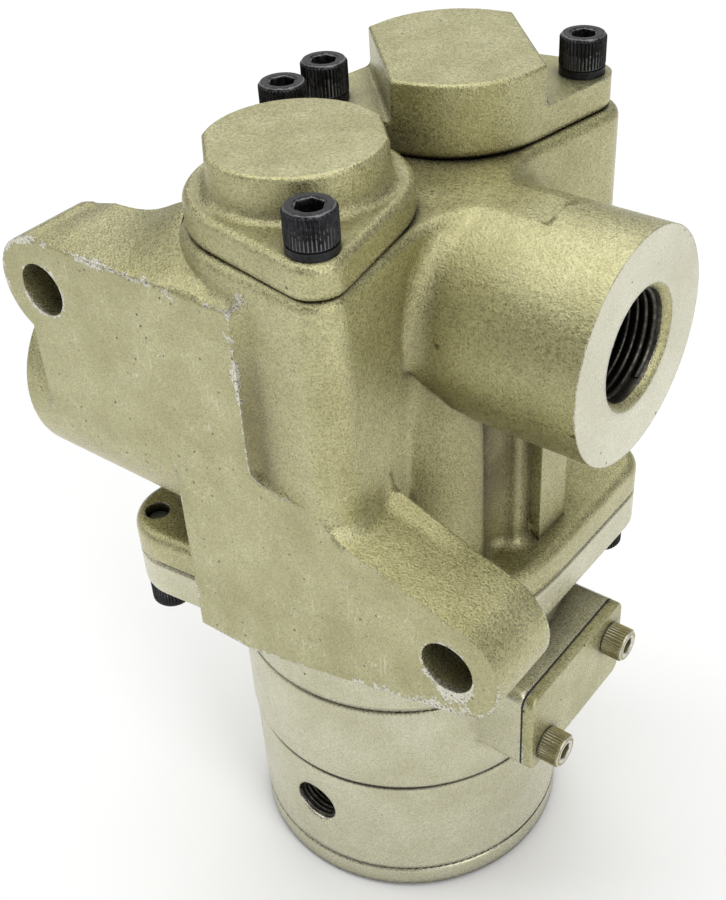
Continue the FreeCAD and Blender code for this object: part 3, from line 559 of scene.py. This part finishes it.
# %% [markdown]
# The caps are small castings with faced tops. The pilot cylinder and its end cap are turned on a lathe,
# which leaves fine rings round them, and the side cover is a piece of milled plate.
# A turner or moulder breaks the edge where two pieces meet, and that small groove is what makes the joint
# read as a dark line. The meeting edges are bevelled before the mesh is divided, so the groove is even.


# %% Caps, cylinder and cover
PILOT_BORE_FROM, PILOT_BORE_TO = -15 * MM, 1.4 * MM
ON_LEVEL = 0.02 * MM


# a face gets the second finish of its piece's list where one of these two says 1, and else the first
def faced_top(face):
    return 1 if face.normal.z > SQUARE_ON else 0


def end_cap_finish(face):
    along, reach = port_place(face.calc_center_median(), "pilot_port")
    in_bore = reach < PORTS["pilot_port"][2] + TOLERANCE and PILOT_BORE_FROM < along < PILOT_BORE_TO
    return 1 if in_bore else 0


def broken_edge(level_mm, width_mm, least_reach_mm, centre=Vector((0, 0, 0))):
    def prepare(work):
        meeting = [e for e in work.edges if len(e.link_faces) == 2 and e.calc_face_angle_signed() > CORNER
                   and all(abs(v.co.z - level_mm * MM) < ON_LEVEL for v in e.verts)
                   and all((v.co - centre).xy.length > least_reach_mm * MM for v in e.verts)]
        bmesh.ops.bevel(work, geom=meeting, offset=width_mm * MM, offset_type="OFFSET", segments=2,
                        profile=0.5, affect="EDGES")
        bmesh.ops.triangulate(work, faces=[f for f in work.faces if len(f.verts) > 3])
        print("meeting edges broken at", level_mm, "mm:", len(meeting))
    return prepare


dress("front_cap", "front_chamber_cap", "valve", 1.4, [sand_cast, cap_face], faced_top,
      prepare=broken_edge(DECK_MM, width_mm=1.3, least_reach_mm=20.0, centre=TOWER_CENTRE))
dress("back_cap", "back_chamber_cap", "valve", 1.4, [sand_cast, cap_face], faced_top,
      prepare=broken_edge(DECK_MM, width_mm=1.3, least_reach_mm=20.0, centre=BACK_CENTRE))
dress("lower_housing", "pilot_cylinder", "valve", 1.8, [turned],
      prepare=broken_edge(END_JOINT_MM, width_mm=1.8, least_reach_mm=41.0))
dress("bottom_cap", "end_cap", "valve", 1.8, [turned, bore_metal], end_cap_finish,
      prepare=broken_edge(END_JOINT_MM, width_mm=0.8, least_reach_mm=40.5))
dress("cover_plate", "side_cover", "valve", 1.4, [milled])

# %% [markdown]
# A screw thread is one ridge that follows a helix, so geometry nodes make it: a spiral curve carries a
# three-sided profile. The same tree threads all three ports, each with its own radius, pitch and turns.
# The root of each thread stands at the bore of the engineering model, and its crest stands inside it.


# %% Thread tree
def group_with_inputs(name, sizes, takes_geometry=False):
    group = bpy.data.node_groups.new(name, "GeometryNodeTree")
    if takes_geometry:
        group.interface.new_socket("Geometry", in_out="INPUT", socket_type="NodeSocketGeometry")
    for label, value in sizes.items():
        kind = "NodeSocketInt" if isinstance(value, int) else "NodeSocketFloat"
        socket = group.interface.new_socket(label, in_out="INPUT", socket_type=kind)
        socket.default_value = value
    group.interface.new_socket("Finish", in_out="INPUT", socket_type="NodeSocketMaterial")
    group.interface.new_socket("Geometry", in_out="OUTPUT", socket_type="NodeSocketGeometry")
    return group, add(group, "NodeGroupInput"), add(group, "NodeGroupOutput")


def thread_tree():
    group, given, out = group_with_inputs("port thread", {"Crest Radius": 11.7 * MM, "Depth": 1.0 * MM,
                                                          "Pitch": 1.8 * MM, "Turns": 7.0})
    size = {s.name: s for s in given.outputs}
    root = add(group, MATH, [size["Crest Radius"], size["Depth"]], operation="ADD")
    height = add(group, MATH, [size["Pitch"], size["Turns"]], operation="MULTIPLY")
    spiral = add(group, "GeometryNodeCurveSpiral", {"Resolution": 64, "Rotations": size["Turns"],
                                                    "Start Radius": root, "End Radius": root,
                                                    "Height": height})
    reach = add(group, MATH, [size["Depth"], 0.98], operation="MULTIPLY")
    profile = add(group, "GeometryNodeCurvePrimitiveCircle", {"Resolution": 3, "Radius": reach})
    solid = add(group, "GeometryNodeCurveToMesh", {"Curve": spiral, "Profile Curve": profile,
                                                   "Fill Caps": True})
    real = add(group, "GeometryNodeRealizeInstances", [solid])
    finished = add(group, "GeometryNodeSetMaterial", {"Geometry": real, "Material": size["Finish"]})
    group.links.new(finished.outputs[0], out.inputs[0])
    return group


def set_inputs(modifier, values):
    for item in modifier.node_group.interface.items_tree:
        if item.item_type == "SOCKET" and item.in_out == "INPUT" and item.name in values:
            modifier[item.identifier] = values[item.name]


def made_by_tree(name, group, values, seed_points=((0, 0, 0),), place=Matrix.Identity(4)):
    seed = bpy.data.meshes.new(name + "_seed")
    seed.from_pydata([tuple(p) for p in seed_points], [], [])
    carrier = bpy.data.objects.new(name + "_carrier", seed)
    bpy.context.scene.collection.objects.link(carrier)
    modifier = carrier.modifiers.new("made", "NODES")
    modifier.node_group = group
    set_inputs(modifier, values)
    graph = bpy.context.evaluated_depsgraph_get()
    mesh = bpy.data.meshes.new_from_object(carrier.evaluated_get(graph))
    bpy.data.objects.remove(carrier)
    mesh.name = name
    mesh.transform(place)
    piece = bpy.data.objects.new(name, mesh)
    bpy.context.scene.collection.objects.link(piece)
    return piece


thread_group = thread_tree()
PITCH = {"supply_port": 1.81 * MM, "outlet_port": 1.81 * MM, "pilot_port": 1.34 * MM}
THREAD_DEPTH = {"supply_port": 1.05 * MM, "outlet_port": 1.05 * MM, "pilot_port": 0.75 * MM}
LEFT_PLAIN, FIRST_TURN_IN = 1.5 * MM, 1.0 * MM
for port, (centre, axis, radius, length) in PORTS.items():
    turns = (length - LEFT_PLAIN) / PITCH[port]
    toward = axis.to_track_quat("Z", "Y").to_matrix().to_4x4()
    start = centre - axis * (length - FIRST_TURN_IN)
    thread = made_by_tree(port + "_thread", thread_group,
                          {"Crest Radius": radius - THREAD_DEPTH[port], "Depth": THREAD_DEPTH[port],
                           "Pitch": PITCH[port], "Turns": turns, "Finish": bore_metal},
                          place=Matrix.Translation(start) @ toward)
    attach(thread, "valve")
    print(thread.name, "turns", round(turns, 1), "triangles", len(thread.data.polygons))

# %% [markdown]
# The cap screws are cylinders with a hexagon socket and a straight knurl round the head, which a mechanic
# grips when starting the screw by hand. The blank is turned in mesh code: rings of vertices joined by quads,
# and a top that runs in to a hexagon. Geometry nodes then set one ridge on each of the knurl's places, add
# the blank and put the finished screw on every seat.

# %% Screw blank
AROUND = 48
POINT_CHAMFER, RIM, FOOT_CHAMFER, SOCKET_CHAMFER = 0.6 * MM, 0.55 * MM, 0.25 * MM, 0.3 * MM


def ring_of(work, radius, z, count):
    return [work.verts.new((radius * math.cos(2 * math.pi * i / count),
                            radius * math.sin(2 * math.pi * i / count), z)) for i in range(count)]


def hexagon_ring(work, across_flats, z, count):
    made = []
    for i in range(count):
        angle = 2 * math.pi * i / count
        folded = (angle % (math.pi / 3)) - math.pi / 6
        reach = across_flats / 2 / math.cos(folded)
        made.append(work.verts.new((reach * math.cos(angle), reach * math.sin(angle), z)))
    return made


def join_rings(work, rings):
    count = len(rings[0])
    for low, high in zip(rings, rings[1:]):
        for i in range(count):
            j = (i + 1) % count
            work.faces.new((low[i], low[j], high[j], high[i]))


def screw_blank(name, head_r, head_h, shank_r, length, socket_af, socket_depth, knurl_depth):
    work = bmesh.new()
    side_r = head_r - knurl_depth
    # each ring: its radius and its height, from the point of the screw up to the socket's mouth
    turned_rings = ((shank_r - POINT_CHAMFER, -length), (shank_r, -length + POINT_CHAMFER), (shank_r, 0),
                    (side_r - 0.2 * MM, 0), (side_r, FOOT_CHAMFER), (side_r, head_h - RIM),
                    (side_r - RIM * 0.35, head_h - RIM * 0.25), (side_r - RIM, head_h),
                    (socket_af * 0.62, head_h))
    rings = [ring_of(work, radius, z, AROUND) for radius, z in turned_rings]
    rings += [hexagon_ring(work, socket_af, head_h - down, AROUND) for down in (SOCKET_CHAMFER, socket_depth)]
    join_rings(work, rings)
    work.faces.new(rings[0][::-1])
    work.faces.new(rings[-1])
    bmesh.ops.recalc_face_normals(work, faces=work.faces)
    work.normal_update()
    for face in work.faces:
        face.smooth = len(face.verts) < 5
    mesh = bpy.data.meshes.new(name)
    work.to_mesh(mesh)
    mesh.set_sharp_from_angle(angle=CORNER)
    store_wear(mesh, outer_corner_points(work, 0.5 * MM))
    work.free()
    return bpy.data.objects.new(name, mesh)


def knurl_ridge(name, height, width, depth):
    # a three-sided ridge with sloping ends, its back sunk a little into the head
    back, low, high = -0.1 * MM, 0.5 * MM, height - 0.7 * MM
    corners = [(back, -width / 2, low - depth), (back, width / 2, low - depth), (depth, 0, low),
               (back, -width / 2, high + depth), (back, width / 2, high + depth), (depth, 0, high)]
    faces = [(0, 2, 1), (3, 4, 5), (0, 3, 5, 2), (1, 2, 5, 4), (0, 1, 4, 3)]
    mesh = bpy.data.meshes.new(name)
    mesh.from_pydata(corners, [], faces)
    store_wear(mesh, [])
    return bpy.data.objects.new(name, mesh)


# %% Knurled screw tree
def screw_tree():
    group, given, out = group_with_inputs("knurled screws", {"Knurls": 42, "Side Radius": 4.8 * MM,
                                                             "Tilt X": 0.0, "Tilt Y": 0.0},
                                          takes_geometry=True)
    for label in ("Blank", "Ridge"):
        group.interface.new_socket(label, in_out="INPUT", socket_type="NodeSocketObject")
    size = {s.name: s for s in given.outputs}
    blank = add(group, "GeometryNodeObjectInfo", {"Object": size["Blank"]}).outputs["Geometry"]
    ridge = add(group, "GeometryNodeObjectInfo", {"Object": size["Ridge"]}).outputs["Geometry"]
    circle = add(group, "GeometryNodeMeshCircle", {"Vertices": size["Knurls"], "Radius": size["Side Radius"]})
    index = add(group, "GeometryNodeInputIndex").outputs[0]
    step = add(group, MATH, [2 * math.pi, size["Knurls"]], operation="DIVIDE")
    angle = add(group, MATH, [index, step], operation="MULTIPLY")
    turn = add(group, "ShaderNodeCombineXYZ", {"Z": angle})
    knurl = add(group, "GeometryNodeInstanceOnPoints", {"Points": circle, "Instance": ridge,
                                                        "Rotation": turn})
    one = add(group, "GeometryNodeJoinGeometry")
    for part in (knurl.outputs[0], blank):
        group.links.new(part, one.inputs[0])
    tilt = add(group, "ShaderNodeCombineXYZ", {"X": size["Tilt X"], "Y": size["Tilt Y"]})
    placed = add(group, "GeometryNodeInstanceOnPoints", {"Points": size["Geometry"], "Instance": one,
                                                         "Rotation": tilt})
    real = add(group, "GeometryNodeRealizeInstances", [placed])
    finished = add(group, "GeometryNodeSetMaterial", {"Geometry": real, "Material": size["Finish"]})
    group.links.new(finished.outputs[0], out.inputs[0])
    return group


def solid_boxes(node):
    # the lowest and highest corner of each separate solid of a node, found by walking its joined triangles
    work = merged_copy(node)
    left = set(work.verts)
    boxes = []
    while left:
        island, todo = [], [left.pop()]
        while todo:
            vertex = todo.pop()
            island.append(vertex.co.copy())
            for edge in vertex.link_edges:
                other = edge.other_vert(vertex)
                if other in left:
                    left.remove(other)
                    todo.append(other)
        low = Vector([min(p[i] for p in island) for i in range(3)])
        high = Vector([max(p[i] for p in island) for i in range(3)])
        boxes.append((low, high))
    work.free()
    return boxes


screw_group = screw_tree()
M6 = {"head_r": 5.0 * MM, "head_h": 7.0 * MM, "shank_r": 2.95 * MM,
      "socket_af": 5.0 * MM, "socket_depth": 4.0 * MM}
M5 = {"head_r": 4.25 * MM, "head_h": 5.5 * MM, "shank_r": 2.45 * MM,
      "socket_af": 4.0 * MM, "socket_depth": 3.0 * MM}
KNURL_DEPTH = 0.28 * MM
# a ridge is a little narrower than its share of the rim, and a little lower than the knurl is deep
RIDGE_SHARE, RIDGE_LOWER = 0.86, 0.97
TILT = {"+z": (0.0, 0.0), "-z": (math.pi, 0.0), "+x": (0.0, math.pi / 2)}


def screws(node, piece_name, sizes, axis, finish, knurls):
    boxes = solid_boxes(node)
    head_r, head_h = sizes["head_r"], sizes["head_h"]
    length = max(high[i] - low[i] for low, high in boxes for i in range(3)) - head_h
    blank = screw_blank(piece_name + "_blank", **sizes, length=length, knurl_depth=KNURL_DEPTH)
    pitch = 2 * math.pi * head_r / knurls
    ridge = knurl_ridge(piece_name + "_ridge", head_h, pitch * RIDGE_SHARE, KNURL_DEPTH * RIDGE_LOWER)
    seats = []
    for low, high in boxes:
        seat = (low + high) / 2
        level = {"+z": high.z - head_h, "-z": low.z + head_h, "+x": high.x - head_h}[axis]
        seats.append((level, seat.y, seat.z) if axis == "+x" else (seat.x, seat.y, level))
    piece = made_by_tree(piece_name, screw_group,
                         {"Knurls": knurls, "Side Radius": head_r - KNURL_DEPTH, "Tilt X": TILT[axis][0],
                          "Tilt Y": TILT[axis][1], "Finish": finish, "Blank": blank, "Ridge": ridge}, seats)
    for face in piece.data.polygons:
        face.use_smooth = True
    piece.data.set_sharp_from_angle(angle=CORNER)
    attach(piece, "valve")
    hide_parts(node)
    bpy.data.objects.remove(blank)
    bpy.data.objects.remove(ridge)
    print(piece_name, "screws", len(seats), "triangles", len(piece.data.polygons))


screws("cap_screws", "knurled_cap_screws", M6, "+z", black_oxide, 40)
screws("housing_screws", "knurled_flange_screws", M6, "-z", black_oxide, 40)
screws("cover_screws", "coated_cover_screws", M5, "+x", coated_steel, 34)

# %% [markdown]
# The pieces whose engineering shape is right as it stands only need their finish.
# Most of them are inside and show when the valve is taken apart.

# %% Finishes of the remaining pieces
FINISH = {"cap_washers": dark_washer, "housing_washers": dark_washer, "cap_o_rings": nitrile,
          "stem_seals": nitrile, "housing_o_ring": nitrile, "bottom_cap_o_ring": nitrile,
          "pilot_piston": piston_metal, "piston_seal": nitrile, "piston_guide_ring": slide_plastic,
          "cover_gasket": fibre}
for side in ("front", "back"):
    FINISH.update({side + "_seat": stainless, side + "_guide": bronze, side + "_stem": stainless,
                   side + "_disc": stainless, side + "_disc_seal": seat_polymer, side + "_nut": stainless})
for node, finish in FINISH.items():
    for material_slot in frame["nodes"][node].material_slots:
        material_slot.material = finish
print("finished as they are:", len(FINISH))

# %% [markdown]
# Each poppet is pushed shut by a coil spring that stands in a pocket of its cap. When the poppet lifts, the
# coils close up towards the pocket. Each spring is dressed as a piece of its own, with a mesh of its own.

# %% Return springs
# no edge of a spring is this long, so its mesh isn't divided
UNDIVIDED_MM = 50
for side, centre in (("front", TOWER_CENTRE), ("back", BACK_CENTRE)):
    spring = dress(side + "_spring", side + "_return_spring", "valve", UNDIVIDED_MM,
                   [spring_steel])
    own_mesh(spring)

# %% [markdown]
# The photograph was taken on white, close to the valve and from above its front left corner.
# The camera's place, turn and lens were worked out from forty corners of the valve, so they are written as
# numbers. The floor is pale and plain.

# %% Camera
CAMERA_AT = Vector((153.39, -196.92, 307.1)) * MM
TURN, DOWN, ROLL = math.radians(39.74), math.radians(37.45), math.radians(-3.82)
FOCAL_PX, IMAGE_HEIGHT_PX = 1321, 900
forward = Vector((-math.sin(TURN) * math.cos(DOWN), math.cos(TURN) * math.cos(DOWN), -math.sin(DOWN)))
level = Vector((math.cos(TURN), math.sin(TURN), 0))
upright = level.cross(forward)
right = level * math.cos(ROLL) + upright * math.sin(ROLL)
up = upright * math.cos(ROLL) - level * math.sin(ROLL)
camera = bpy.data.objects.new("camera", bpy.data.cameras.new("camera"))
camera.matrix_world = Matrix.Translation(CAMERA_AT) @ Matrix((right, up, -forward)).transposed().to_4x4()
camera.data.sensor_width = 36
camera.data.lens = FOCAL_PX * camera.data.sensor_width / IMAGE_HEIGHT_PX
camera.data.clip_start = 0.01
bpy.context.scene.collection.objects.link(camera)
bpy.context.scene.camera = camera

# %% Floor
floor_mesh = bpy.data.meshes.new("floor")
floor_mesh.from_pydata([(-4, -4, 0), (4, -4, 0), (4, 4, 0), (-4, 4, 0)], [], [(0, 1, 2, 3)])
floor = bpy.data.objects.new("floor", floor_mesh)
paper, tree = new_finish("white paper floor")
shader = add(tree, "ShaderNodeBsdfPrincipled", {"Base Color": (0.93, 0.93, 0.93, 1), "Roughness": 0.9})
add(tree, "ShaderNodeOutputMaterial", [shader])
floor_mesh.materials.append(paper)
bpy.context.scene.collection.objects.link(floor)

# %% [markdown]
# Metal shows what surrounds it more than it shows lamps. So the room is dim, and a few large soft panels give
# the coat its slow gradients: a ceiling that also lights the white table, a broad one behind the valve that
# the upward faces mirror, and two weaker ones at the sides. Together they light the table just to white,
# because a brighter table would shine on every face that looks down.


# %% Lights
def panel(name, at, target, size, watts):
    lamp = bpy.data.lights.new(name, "AREA")
    lamp.shape = "RECTANGLE"
    lamp.size, lamp.size_y = size
    lamp.energy = watts
    made = bpy.data.objects.new(name, lamp)
    made.matrix_world = (Matrix.Translation(Vector(at)) @
                         (Vector(target) - Vector(at)).to_track_quat("-Z", "Y").to_matrix().to_4x4())
    bpy.context.scene.collection.objects.link(made)


middle = (0, 0, 0.11)
panel("ceiling panel", (0.0, 0.0, 2.2), (0, 0, 0), (2.6, 2.6), 41)
panel("panel behind", (-1.0, 1.2, 1.35), middle, (1.6, 1.5), 8)
panel("upper left panel", (-0.9, -0.5, 0.9), middle, (0.6, 0.8), 3)
panel("right panel", (1.1, -0.35, 0.7), middle, (0.5, 0.8), 6)
world = bpy.data.worlds.new("bright room")
world.use_nodes = True
world.node_tree.nodes["Background"].inputs["Color"].default_value = (1, 1, 1, 1)
world.node_tree.nodes["Background"].inputs["Strength"].default_value = 0.25
bpy.context.scene.world = world
bpy.context.scene.view_settings.view_transform = "Standard"
